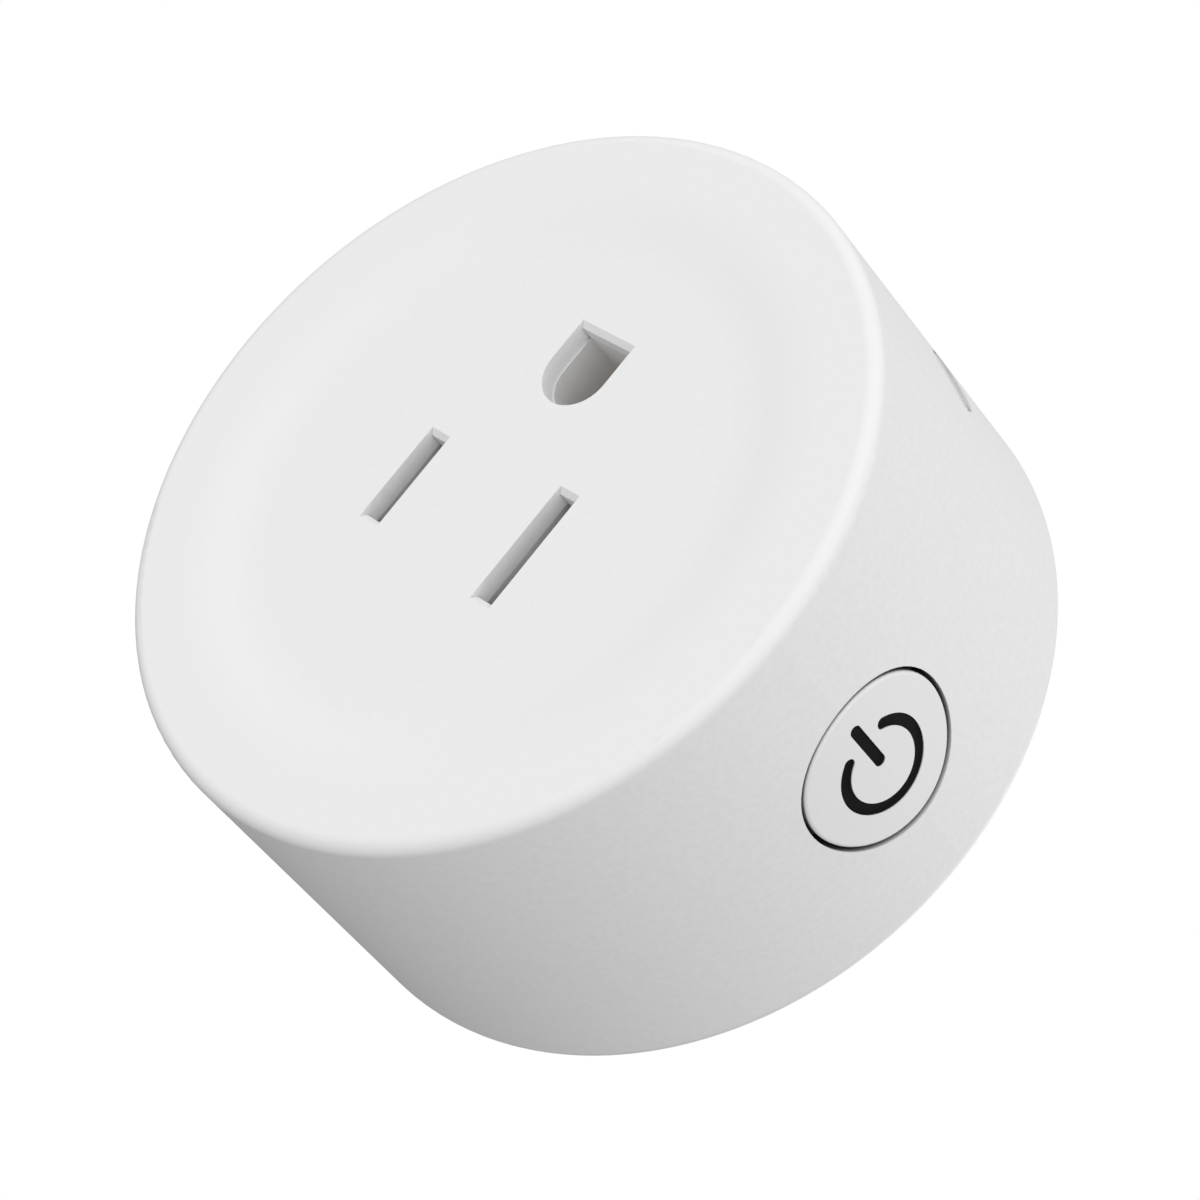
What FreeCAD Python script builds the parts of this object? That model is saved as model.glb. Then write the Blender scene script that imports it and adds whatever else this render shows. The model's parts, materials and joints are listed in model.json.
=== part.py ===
import FreeCAD, Part
import Sketcher
import math
import os
import re

# A round smart plug for a grounded two-blade outlet, made as separate pieces.
# Frame: the origin is the centre of the rear face, which lies on the wall plate.
# +X is right and +Z is up as seen from the room, and +Y points into the wall.
# "Front" in a name or a comment is a distance in front of the wall, so Y = -front.

doc = FreeCAD.newDocument("smart_plug")
sheet = doc.addObject("Spreadsheet::Sheet", "Sizes")

# Driving dimensions: name, value in mm or degrees, meaning.
SIZES = [
    ("body_radius", 28.5, "outside radius of the round housing at its rear"),
    ("front_radius", 27.6, "outside radius at the face, smaller by the mould's draft"),
    ("body_depth", 28.5, "front face to rear face"),
    ("side_wall", 1.8, "thickness of the cup's side wall"),
    ("face_plate", 2.0, "thickness of the cup's face at its rim"),
    ("dish_inner", 17.4, "radius of the flat middle of the face"),
    ("dish_outer", 23.3, "radius where the face reaches its rim level"),
    ("dish_depth", 0.5, "how far the middle of the face lies below the rim"),
    ("rim", 1.0, "rounding between the face and the side"),
    ("rear_edge", 1.1, "rounding of the cup's rear edge"),
    ("blade_drop", 2.92, "blade line below the housing's axis"),
    ("blade_offset", 6.35, "blade centre to the middle, half of 12.7"),
    ("ground_height", 8.96, "ground hole above the housing's axis"),
    ("line_slot", 6.9, "height of the line slot"),
    ("neutral_slot", 8.5, "height of the neutral slot"),
    ("slot_width", 1.9, "width of both slots"),
    ("slot_chamfer", 0.4, "bevel at the ends of the slots and at the ground opening's flat"),
    ("ground_hole", 2.65, "radius of the ground opening's round end"),
    ("ground_flat", 2.92, "flat end of the ground opening above its centre"),
    ("blade_thickness", 1.52, "both blades"),
    ("line_blade_width", 6.35, "line blade"),
    ("neutral_blade_width", 7.94, "neutral blade, the wide one"),
    ("blade_length", 17.5, "blades in front of the wall plate's plane"),
    ("blade_hole", 1.6, "radius of the hole near a blade's tip"),
    ("blade_hole_place", 11.7, "hole centre from the rear face"),
    ("pin_radius", 2.38, "round ground pin"),
    ("pin_length", 20.6, "ground pin from the rear face"),
    ("pin_collar", 0.25, "how much thicker the pin is inside the rear cover"),
    ("button_front", 13.2, "button axis in front of the wall"),
    ("button_radius", 6.0, "power button"),
    ("button_gap", 0.32, "gap round the power button"),
    ("button_rounding", 0.25, "rounding of the button's outer edge"),
    ("button_flange", 7.2, "radius of the button's retaining flange"),
    ("flange_outer", 25.0, "outer side of the flange, from the housing's axis"),
    ("flange_inner", 24.0, "inner side of the flange, from the housing's axis"),
    ("stem_radius", 1.6, "stem that reaches the switch"),
    ("stem_end", 22.05, "inner end of the stem, from the housing's axis"),
    ("symbol_front", 12.95, "centre of the power symbol's ring"),
    ("symbol_ring", 3.08, "middle radius of the ring"),
    ("symbol_stroke", 0.85, "width of the symbol's stroke"),
    ("symbol_gap", 33.0, "half of the ring's opening, in degrees"),
    ("symbol_bar", 4.15, "outer end of the bar from the ring's centre"),
    ("symbol_bar_start", 0.6, "inner end of the bar from the ring's centre"),
    ("symbol_floor", 27.45, "floor of the engraved symbol, from the housing's axis"),
    ("lens_angle", 61.5, "status lens, from +X towards +Z"),
    ("lens_front", 13.65, "status lens in front of the wall"),
    ("lens_radius", 2.4, "status lens"),
    ("lens_flange", 3.2, "radius of the lens's inner flange"),
    ("lens_end", 21.2, "inner end of the lens, from the housing's axis"),
    ("rear_plate", 2.2, "thickness of the rear cover"),
    ("rear_gap", 0.1, "gap between the rear cover and the cup"),
    ("rear_lip", 3.6, "height of the rear cover's lip and screw seats"),
    ("screw_circle", 22.7, "radius of the screw circle"),
    ("screw_angle", 33.0, "first screw, from +X towards +Z"),
    ("screw_radius", 1.25, "cover screw"),
    ("screw_head", 2.3, "radius of the screw's head"),
    ("screw_head_height", 1.5, "height of the screw's head"),
    ("screw_end", 13.0, "screw's tip in front of the wall"),
    ("boss_radius", 2.8, "screw boss"),
    ("board_back", 5.2, "main board's rear face"),
    ("board_front", 6.8, "main board's front face"),
    ("board_radius", 24.6, "main board"),
    ("carrier_half", 9.4, "contact carrier, half of its width"),
    ("carrier_neck", 4.6, "contact carrier, half of its width at the ground contact"),
    ("carrier_bottom", 8.4, "contact carrier below the axis"),
    ("carrier_top", 12.9, "contact carrier above the axis"),
    ("carrier_floor", 8.4, "inside floor of the carrier's pockets"),
    ("carrier_lip", 1.0, "thickness of the carrier's wall behind the blade slots"),
    ("ground_lip", 4.0, "length of the carrier's ground opening behind the face plate"),
    ("carrier_ground", 2.52, "radius of the ground opening in the carrier"),
    ("carrier_shoulder", 2.9, "where the carrier starts to narrow, above the axis"),
    ("carrier_neck_start", 5.2, "where the carrier's neck starts, above the axis"),
    ("line_pocket", 7.8, "height of the line contact's pocket"),
    ("neutral_pocket", 9.4, "height of the neutral contact's pocket"),
    ("ground_pocket", 3.2, "radius of the ground contact's pocket"),
    ("tail_half", 1.5, "half of a blade's solder tail, and the radius of the ground pin's"),
    ("tail_gap", 0.05, "room round a solder tail"),
    ("pocket_half", 2.3, "half of a blade pocket's width"),
    ("leaf", 0.5, "thickness of the contact springs"),
    ("clip_half", 2.1, "half of a blade contact's width at its waist"),
    ("contact_front", 24.8, "mouth of the blade contacts"),
    ("ground_contact_front", 22.2, "mouth of the ground contact"),
    ("strap", 0.8, "thickness of the line strap"),
    ("radio_inner", 17.0, "radio board, face towards the middle"),
    ("radio_outer", 18.0, "radio board, face towards the button"),
    ("switch_outer", 20.6, "front of the switch body, from the housing's axis"),
    ("plunger_end", 22.0, "outer end of the switch plunger"),
    ("relay_top", 22.2, "relay's top in front of the wall"),
    ("radio_front", 24.0, "radio board's front edge"),
    ("radio_half", 9.0, "half of the radio board's height"),
]

for row, (alias, number, meaning) in enumerate(SIZES, start=1):
    sheet.set("A%d" % row, alias)
    sheet.set("B%d" % row, str(number))
    sheet.set("C%d" % row, meaning)
    sheet.setAlias("B%d" % row, alias)
doc.recompute()

FACE_BACK = "(body_depth - face_plate)"
FACE_LEVEL = "(body_depth - dish_depth)"
INNER_RADIUS = "(body_radius - side_wall)"
RIM_LEVEL = "(body_depth - rim)"
SCREW_X = "screw_circle * cos(screw_angle)"
SCREW_Z = "screw_circle * sin(screw_angle)"

sub_parts = []


# ---------------------------------------------------------------- helpers

def formula(text):
    """Turn a formula in sheet names into a FreeCAD expression."""
    return re.sub(r"\b([a-z][a-z_]+)\b(?!\()", r"Sizes.\1", str(text))


def number(text):
    """The present value of a formula."""
    return float(sheet.evalExpression(formula(text)))


def bind(item, field, text):
    item.setExpression(field, formula(text))


def new_body(label):
    body = doc.addObject("PartDesign::Body", label)
    body.Label = label
    sub_parts.append(body)
    return body


def new_sketch(body, name, plane, offset="0"):
    """A sketch on one of the body's own origin planes, moved along its normal."""
    sketch = body.newObject("Sketcher::SketchObject", name)
    support = [item for item in body.Origin.OriginFeatures if item.Role == plane][0]
    sketch.AttachmentSupport = [(support, "")]
    sketch.MapMode = "FlatFace"
    bind(sketch, "AttachmentOffset.Base.z", offset)
    return sketch


def constrain(sketch, kind, *details):
    """Add a sketch constraint whose last detail is a formula."""
    text = details[-1]
    index = sketch.addConstraint(Sketcher.Constraint(kind, *details[:-1], number(text)))
    sketch.setExpression("Constraints[%d]" % index, formula(text))


def arc_between(start, end, radius, turn):
    """The shorter arc from start to end that turns left (1) or right (-1)."""
    along = end - start
    sideways = FreeCAD.Vector(-along.y, along.x, 0).normalize()
    middle = start + along * 0.5
    reach = math.sqrt(max(radius ** 2 - (along.Length / 2) ** 2, 0))
    centre = middle + sideways * reach * turn
    first, last = (start, end) if turn > 0 else (end, start)
    angles = [math.atan2(point.y - centre.y, point.x - centre.x) for point in (first, last)]
    circle = Part.Circle(centre, FreeCAD.Vector(0, 0, 1), radius)
    return Part.ArcOfCircle(circle, angles[0], angles[1])


def close_arc(sketch, index, corner, following):
    """Fix an arc's last freedom: its radius, or its centre where it is a half circle."""
    across = number(following[0]) - number(corner[0])
    up = number(following[1]) - number(corner[1])
    if math.hypot(across, up) < 2 * number(corner[2]) - 0.001:
        constrain(sketch, "Radius", index, corner[2])
    elif abs(up) > abs(across):
        constrain(sketch, "DistanceX", -1, 1, index, 3, "((%s) + (%s)) / 2" % (corner[0], following[0]))
    else:
        constrain(sketch, "DistanceY", -1, 1, index, 3, "((%s) + (%s)) / 2" % (corner[1], following[1]))


def outline(sketch, corners):
    """A closed outline. A corner is (x, y), or (x, y, radius, turn) where an arc leaves it."""
    points = [FreeCAD.Vector(number(corner[0]), number(corner[1]), 0) for corner in corners]
    edges = []
    for place, corner in enumerate(corners):
        start = points[place]
        end = points[(place + 1) % len(corners)]
        if len(corner) == 2:
            index = sketch.addGeometry(Part.LineSegment(start, end), False)
            edges.append((index, 1, 2))
        else:
            arc = arc_between(start, end, number(corner[2]), corner[3])
            index = sketch.addGeometry(arc, False)
            edges.append((index, 1, 2) if corner[3] > 0 else (index, 2, 1))
    for place, corner in enumerate(corners):
        index, start_end, far_end = edges[place]
        following = edges[(place + 1) % len(corners)]
        sketch.addConstraint(Sketcher.Constraint("Coincident", index, far_end, following[0], following[1]))
        constrain(sketch, "DistanceX", -1, 1, index, start_end, corner[0])
        constrain(sketch, "DistanceY", -1, 1, index, start_end, corner[1])
        if len(corner) == 4:
            close_arc(sketch, index, corner, corners[(place + 1) % len(corners)])


def rectangle(sketch, left, right, low, high):
    outline(sketch, [(left, low), (right, low), (right, high), (left, high)])


def circle(sketch, across, up, radius):
    centre = FreeCAD.Vector(number(across), number(up), 0)
    index = sketch.addGeometry(Part.Circle(centre, FreeCAD.Vector(0, 0, 1), number(radius)), False)
    constrain(sketch, "DistanceX", -1, 1, index, 3, across)
    constrain(sketch, "DistanceY", -1, 1, index, 3, up)
    constrain(sketch, "Radius", index, radius)


def pad(body, sketch, length):
    feature = body.newObject("PartDesign::Pad", sketch.Name + "_pad")
    feature.Profile = sketch
    bind(feature, "Length", length)
    return feature


def pocket(body, sketch, length):
    """Cut forwards, along the sketch's normal."""
    feature = body.newObject("PartDesign::Pocket", sketch.Name + "_pocket")
    feature.Profile = sketch
    feature.Reversed = True
    bind(feature, "Length", length)
    return feature


def turned(body, sketch, kind="PartDesign::Revolution", axis="V_Axis"):
    feature = body.newObject(kind, sketch.Name + "_turned")
    feature.Profile = sketch
    feature.ReferenceAxis = (sketch, [axis])
    feature.Angle = 360
    return feature


def polar_pattern(body, name, features, count):
    """Repeat features about the housing's axis."""
    pattern = body.newObject("PartDesign::PolarPattern", name)
    pattern.Originals = features
    axis = [item for item in body.Origin.OriginFeatures if item.Role == "Y_Axis"][0]
    pattern.Axis = (axis, [""])
    pattern.Angle = 360
    pattern.Occurrences = count
    body.Tip = pattern
    return pattern


def edge_names(shape, wanted):
    """Names of the edges whose every vertex and middle point satisfies a test."""
    names = []
    for index, edge in enumerate(shape.Edges, start=1):
        middle = edge.valueAt((edge.FirstParameter + edge.LastParameter) / 2)
        points = [vertex.Point for vertex in edge.Vertexes] + [middle]
        if all(wanted(point) for point in points):
            names.append("Edge%d" % index)
    return names


def round_edges(body, base, name, wanted, radius, kind="PartDesign::Fillet"):
    """Round or bevel the edges of a feature that satisfy a test."""
    doc.recompute()
    feature = body.newObject(kind, name)
    feature.Base = (base, edge_names(base.Shape, wanted))
    bind(feature, "Radius" if kind == "PartDesign::Fillet" else "Size", radius)
    return feature


def front_block(label, left, right, low, high, back, front, rounding=None):
    """A block standing forwards from the level back to the level front."""
    body = new_body(label)
    sketch = new_sketch(body, label + "_plan", "XZ_Plane", back)
    rectangle(sketch, left, right, low, high)
    solid = pad(body, sketch, "(%s) - (%s)" % (front, back))
    if rounding:
        round_edges(body, solid, label + "_edges", lambda point: True, rounding)
    return body


def front_can(label, across, up, back, front, radius, rounding):
    """A round can standing forwards, rounded at its front."""
    body = new_body(label)
    sketch = new_sketch(body, label + "_plan", "XZ_Plane", back)
    circle(sketch, across, up, radius)
    solid = pad(body, sketch, "(%s) - (%s)" % (front, back))
    top = -number(front)
    round_edges(body, solid, label + "_edge", lambda point: abs(point.y - top) < 0.01, rounding)
    return body


# ---------------------------------------------------------------- housing

def blade_opening(sketch, side, height, width):
    """One upright blade slot; side is -1 for line and 1 for neutral."""
    middle = "%d * blade_offset" % side
    rectangle(sketch, "%s - %s / 2" % (middle, width), "%s + %s / 2" % (middle, width),
              "-blade_drop - %s / 2" % height, "-blade_drop + %s / 2" % height)


def ground_opening(sketch, radius):
    """A ground hole: round below, flat above."""
    outline(sketch, [
        ("-%s" % radius, "ground_height", radius, 1),
        ("0", "ground_height - %s" % radius, radius, 1),
        (radius, "ground_height"),
        (radius, "ground_height + ground_flat"),
        ("-%s" % radius, "ground_height + ground_flat"),
    ])


def make_front_cover():
    body = new_body("front_cover")
    half_wide = "((dish_outer - dish_inner) / 2)"
    bend = "((%s * %s + dish_depth * dish_depth / 4) / dish_depth)" % (half_wide, half_wide)
    profile = new_sketch(body, "cup_profile", "XY_Plane")
    outline(profile, [
        ("0", "-" + FACE_LEVEL),
        ("dish_inner", "-" + FACE_LEVEL, bend, -1),
        ("dish_inner + " + half_wide, "-(body_depth - dish_depth / 2)", bend, 1),
        ("dish_outer", "-body_depth"),
        ("front_radius - rim", "-body_depth", "rim", 1),
        ("front_radius", "-" + RIM_LEVEL),
        ("body_radius", "-rear_edge", "rear_edge", 1),
        ("body_radius - rear_edge", "0"),
        (INNER_RADIUS, "0"),
        (INNER_RADIUS, "-rear_lip - 1"),
        ("front_radius - side_wall", "-" + FACE_BACK),
        ("0", "-" + FACE_BACK),
    ])
    turned(body, profile)

    bosses = new_sketch(body, "screw_bosses", "XZ_Plane", "rear_lip")
    circle(bosses, SCREW_X, SCREW_Z, "boss_radius")
    boss = pad(body, bosses, "%s - rear_lip" % FACE_BACK)
    pilots = new_sketch(body, "screw_pilots", "XZ_Plane", "rear_lip")
    circle(pilots, SCREW_X, SCREW_Z, "screw_radius + 0.05")
    pilot = pocket(body, pilots, "screw_end - rear_lip + 1")
    polar_pattern(body, "cup_screw_pattern", [boss, pilot], 4)

    sockets = new_sketch(body, "socket_openings", "XZ_Plane", FACE_BACK + " - 1")
    blade_opening(sockets, -1, "line_slot", "slot_width")
    blade_opening(sockets, 1, "neutral_slot", "slot_width")
    ground_opening(sockets, "ground_hole")
    openings = pocket(body, sockets, "face_plate + 2")
    level = -number(FACE_LEVEL)
    ends = [number("%s * %s / 2 - blade_drop" % (way, height))
            for way in ("1", "-1") for height in ("line_slot", "neutral_slot")]
    ends.append(number("ground_height + ground_flat"))
    round_edges(body, openings, "socket_bevels",
                lambda point: abs(point.y - level) < 0.01 and any(abs(point.z - end) < 0.01 for end in ends),
                "slot_chamfer", "PartDesign::Chamfer")

    seat = new_sketch(body, "button_seat", "YZ_Plane", "flange_outer + 0.05")
    circle(seat, "-button_front", "0", "button_flange + 0.8")
    pad(body, seat, "side_wall")
    hole = new_sketch(body, "button_hole", "YZ_Plane", "flange_outer")
    circle(hole, "-button_front", "0", "button_radius + button_gap")
    pocket(body, hole, "body_radius - flange_outer + 1")

    window = new_sketch(body, "lens_hole", "YZ_Plane", "flange_outer")
    window.AttachmentOffset = FreeCAD.Placement(
        FreeCAD.Vector(0, number("flange_outer * sin(lens_angle)"), number("flange_outer * cos(lens_angle)")),
        FreeCAD.Rotation(FreeCAD.Vector(1, 0, 0), -number("lens_angle")))
    bind(window, "AttachmentOffset.Base.y", "flange_outer * sin(lens_angle)")
    bind(window, "AttachmentOffset.Base.z", "flange_outer * cos(lens_angle)")
    circle(window, "-lens_front", "0", "lens_radius + 0.05")
    pocket(body, window, "body_radius - flange_outer + 1")
    return body


def make_rear_cover():
    body = new_body("rear_cover")
    plate = new_sketch(body, "rear_plate_outline", "XZ_Plane")
    circle(plate, "0", "0", INNER_RADIUS + " - rear_gap")
    pad(body, plate, "rear_plate")
    lip = new_sketch(body, "rear_lip_ring", "XZ_Plane", "rear_plate")
    circle(lip, "0", "0", INNER_RADIUS + " - rear_gap")
    circle(lip, "0", "0", INNER_RADIUS + " - rear_gap - 1.4")
    pad(body, lip, "rear_lip - rear_plate")

    seats = new_sketch(body, "screw_seats", "XZ_Plane", "rear_plate")
    circle(seats, SCREW_X, SCREW_Z, "boss_radius")
    seat = pad(body, seats, "rear_lip - rear_plate")
    sinks = new_sketch(body, "screw_sinks", "XZ_Plane", "-1")
    circle(sinks, SCREW_X, SCREW_Z, "screw_head + 0.2")
    sink = pocket(body, sinks, "1 + screw_head_height + 0.3")
    holes = new_sketch(body, "screw_holes", "XZ_Plane", "0")
    circle(holes, SCREW_X, SCREW_Z, "screw_radius + 0.2")
    hole = pocket(body, holes, "rear_lip + 1")
    posts = new_sketch(body, "board_posts", "XZ_Plane", "rear_plate")
    circle(posts, "-screw_circle * cos(78)", "-screw_circle * sin(78)", "1.5")
    post = pad(body, posts, "board_back - rear_plate")
    polar_pattern(body, "rear_pattern", [seat, sink, hole, post], 4)

    slots = new_sketch(body, "blade_passages", "XZ_Plane", "-1")
    blade_opening(slots, -1, "(line_blade_width + 0.05)", "(blade_thickness + 0.05)")
    blade_opening(slots, 1, "(neutral_blade_width + 0.05)", "(blade_thickness + 0.05)")
    circle(slots, "0", "ground_height", "pin_radius + pin_collar + 0.03")
    pocket(body, slots, "rear_plate + 2")
    return body


def make_cover_screws():
    body = new_body("cover_screws")
    body.AllowCompound = True
    base = "0.3"
    heads = new_sketch(body, "screw_head_outline", "XZ_Plane", base)
    circle(heads, SCREW_X, SCREW_Z, "screw_head")
    head = pad(body, heads, "screw_head_height")
    shanks = new_sketch(body, "screw_shank_outline", "XZ_Plane", base + " + screw_head_height")
    circle(shanks, SCREW_X, SCREW_Z, "screw_radius")
    shank = pad(body, shanks, "screw_end - screw_head_height - " + base)
    drives = new_sketch(body, "screw_drive", "XZ_Plane", "0")
    arm = "1.3"
    slim = "0.3"
    outline(drives, [
        (SCREW_X + " - " + arm, SCREW_Z + " - " + slim), (SCREW_X + " - " + slim, SCREW_Z + " - " + slim),
        (SCREW_X + " - " + slim, SCREW_Z + " - " + arm), (SCREW_X + " + " + slim, SCREW_Z + " - " + arm),
        (SCREW_X + " + " + slim, SCREW_Z + " - " + slim), (SCREW_X + " + " + arm, SCREW_Z + " - " + slim),
        (SCREW_X + " + " + arm, SCREW_Z + " + " + slim), (SCREW_X + " + " + slim, SCREW_Z + " + " + slim),
        (SCREW_X + " + " + slim, SCREW_Z + " + " + arm), (SCREW_X + " - " + slim, SCREW_Z + " + " + arm),
        (SCREW_X + " - " + slim, SCREW_Z + " + " + slim), (SCREW_X + " - " + arm, SCREW_Z + " + " + slim),
    ])
    drive = pocket(body, drives, base + " + 0.9")
    polar_pattern(body, "screw_pattern", [head, shank, drive], 4)
    return body


# ---------------------------------------------------------------- button and lens

def trim_to_housing(body, name, sunk="0"):
    """Cut away whatever stands outside the housing's tapered side."""
    clear = "body_radius + 6"
    sketch = new_sketch(body, name, "XY_Plane")
    outline(sketch, [
        ("front_radius - " + sunk, "-" + RIM_LEVEL), (clear, "-" + RIM_LEVEL),
        (clear, "-rear_edge"), ("body_radius - " + sunk, "-rear_edge"),
    ])
    return turned(body, sketch, "PartDesign::Groove")


def symbol_ring(sketch, inner, outer):
    """The ring's outline on the button, open towards the front."""
    def place(radius, side):
        return ("-symbol_front - (%s) * cos(symbol_gap)" % radius, "%d * (%s) * sin(symbol_gap)" % (side, radius))
    left_out, right_out = place(outer, 1), place(outer, -1)
    left_in, right_in = place(inner, 1), place(inner, -1)
    far_out = ("-symbol_front + " + outer, "0")
    far_in = ("-symbol_front + " + inner, "0")
    outline(sketch, [
        right_out + (outer, 1), far_out + (outer, 1),
        left_out + ("symbol_stroke / 2", 1),
        left_in + (inner, -1), far_in + (inner, -1),
        right_in + ("symbol_stroke / 2", 1),
    ])


def symbol_bar(sketch):
    """The bar's outline, with round ends, pointing to the front."""
    half = "symbol_stroke / 2"
    start = "-symbol_front - symbol_bar_start"
    end = "-symbol_front - symbol_bar"
    outline(sketch, [
        (start, "-" + half, half, 1), (start, half),
        (end, half, half, 1), (end, "-" + half),
    ])


def draw_symbol(body, name, level):
    ring = new_sketch(body, name + "_ring", "YZ_Plane", level)
    symbol_ring(ring, "(symbol_ring - symbol_stroke / 2)", "(symbol_ring + symbol_stroke / 2)")
    bar = new_sketch(body, name + "_bar", "YZ_Plane", level)
    symbol_bar(bar)
    return ring, bar


def on_button_rim(point):
    """Whether a point lies where the button's side meets the housing's side."""
    rim_level = number(RIM_LEVEL)
    behind_rim = (rim_level + point.y) / (rim_level - number("rear_edge"))
    side = number("front_radius") + number("body_radius - front_radius") * behind_rim
    from_axis = math.hypot(point.y + number("button_front"), point.z)
    on_side = point.x > 0 and abs(math.hypot(point.x, point.z) - side) < 0.01
    return on_side and abs(from_axis - number("button_radius")) < 0.01


def make_power_button():
    body = new_body("power_button")
    cap = new_sketch(body, "button_cap", "YZ_Plane", "flange_inner")
    circle(cap, "-button_front", "0", "button_radius")
    pad(body, cap, "body_radius - flange_inner + 1")
    trim_to_housing(body, "button_crown")
    flange = new_sketch(body, "button_flange_outline", "YZ_Plane", "flange_inner")
    circle(flange, "-button_front", "0", "button_flange")
    pad(body, flange, "flange_outer - flange_inner")
    stem = new_sketch(body, "button_stem", "YZ_Plane", "stem_end")
    circle(stem, "-button_front", "0", "stem_radius")
    pad(body, stem, "flange_inner - stem_end")
    ring, bar = draw_symbol(body, "engraving", "symbol_floor")
    pocket(body, ring, "2")
    engraved = pocket(body, bar, "2")
    round_edges(body, engraved, "button_rim", on_button_rim, "button_rounding")
    return body


def make_button_symbol():
    """The fill of the engraved symbol, flush with the button."""
    body = new_body("button_symbol")
    body.AllowCompound = True
    ring, bar = draw_symbol(body, "fill", "symbol_floor")
    pad(body, ring, "2")
    pad(body, bar, "2")
    trim_to_housing(body, "fill_crown", "0.08")
    return body


def aim_at_lens(body):
    """Turn a piece made along +X to the lens's direction."""
    body.Placement = FreeCAD.Placement(
        FreeCAD.Vector(0, 0, 0), FreeCAD.Rotation(FreeCAD.Vector(0, 1, 0), -number("lens_angle")))
    body.setExpression("Placement.Rotation.Angle", formula("-lens_angle") + " * 1 deg")


def make_status_lens():
    body = new_body("status_lens")
    rod = new_sketch(body, "lens_rod", "YZ_Plane", "lens_end")
    circle(rod, "-lens_front", "0", "lens_radius")
    pad(body, rod, "body_radius - lens_end + 1")
    flange = new_sketch(body, "lens_flange_outline", "YZ_Plane", "flange_inner")
    circle(flange, "-lens_front", "0", "lens_flange")
    pad(body, flange, "flange_outer - flange_inner")
    trim_to_housing(body, "lens_crown")
    aim_at_lens(body)
    return body


def make_status_led():
    body = new_body("status_led")
    led_tip = "(lens_end - 0.4)"
    dome = "1.5"
    profile = new_sketch(body, "led_profile", "XY_Plane")
    outline(profile, [
        (led_tip + " - 5.2", "-lens_front"), (led_tip + " - 5.2", "-lens_front - 1.8"),
        (led_tip + " - 4.2", "-lens_front - 1.8"), (led_tip + " - 4.2", "-lens_front - " + dome),
        (led_tip + " - " + dome, "-lens_front - " + dome, dome, 1), (led_tip, "-lens_front"),
    ])
    axis = profile.addGeometry(Part.LineSegment(
        FreeCAD.Vector(0, number("-lens_front"), 0), FreeCAD.Vector(30, number("-lens_front"), 0)), True)
    profile.addConstraint(Sketcher.Constraint("Horizontal", axis))
    constrain(profile, "DistanceY", -1, 1, axis, 1, "-lens_front")
    turned(body, profile, axis="Axis0")
    aim_at_lens(body)
    return body


# ---------------------------------------------------------------- blades and contacts

def make_blade(label, side, width):
    """A flat blade with a hole near its tip, a shoulder and a solder tail."""
    body = new_body(label)
    corner = "1.2"
    half = "(%s / 2)" % width
    tail_end = "carrier_floor" if side > 0 else "board_front"
    profile = new_sketch(body, label + "_profile", "YZ_Plane", "%d * blade_offset - blade_thickness / 2" % side)
    outline(profile, [
        ("blade_length", "-blade_drop - %s + %s" % (half, corner)),
        ("blade_length", "-blade_drop + %s - %s" % (half, corner)),
        ("blade_length - " + corner, "-blade_drop + " + half),
        ("-rear_plate", "-blade_drop + " + half),
        ("-rear_plate", "-blade_drop + %s + 0.8" % half),
        ("-rear_plate - 1.2", "-blade_drop + %s + 0.8" % half),
        ("-rear_plate - 1.2", "-blade_drop + tail_half"),
        ("-" + tail_end, "-blade_drop + tail_half"),
        ("-" + tail_end, "-blade_drop - tail_half"),
        ("-rear_plate - 1.2", "-blade_drop - tail_half"),
        ("-rear_plate - 1.2", "-blade_drop - %s - 0.8" % half),
        ("-rear_plate", "-blade_drop - %s - 0.8" % half),
        ("-rear_plate", "-blade_drop - " + half),
        ("blade_length - " + corner, "-blade_drop - " + half),
    ])
    circle(profile, "blade_hole_place", "-blade_drop", "blade_hole")
    solid = pad(body, profile, "blade_thickness")
    tip = number("blade_length")
    round_edges(body, solid, label + "_tip", lambda point: abs(point.y - tip) < 0.01,
                "0.35", "PartDesign::Chamfer")
    return body


def make_ground_pin():
    body = new_body("ground_pin")
    collar = "pin_radius + pin_collar"
    profile = new_sketch(body, "pin_profile", "XY_Plane", "ground_height")
    outline(profile, [
        ("0", "-carrier_floor"), ("tail_half", "-carrier_floor"), ("tail_half", "-rear_plate - 1.2"),
        ("3.4", "-rear_plate - 1.2"), ("3.4", "-rear_plate"), (collar, "-rear_plate"),
        (collar, "0"), ("pin_radius", "0"),
        ("pin_radius", "pin_length - pin_radius", "pin_radius", 1), ("0", "pin_length"),
    ])
    turned(body, profile)
    return body


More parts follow.
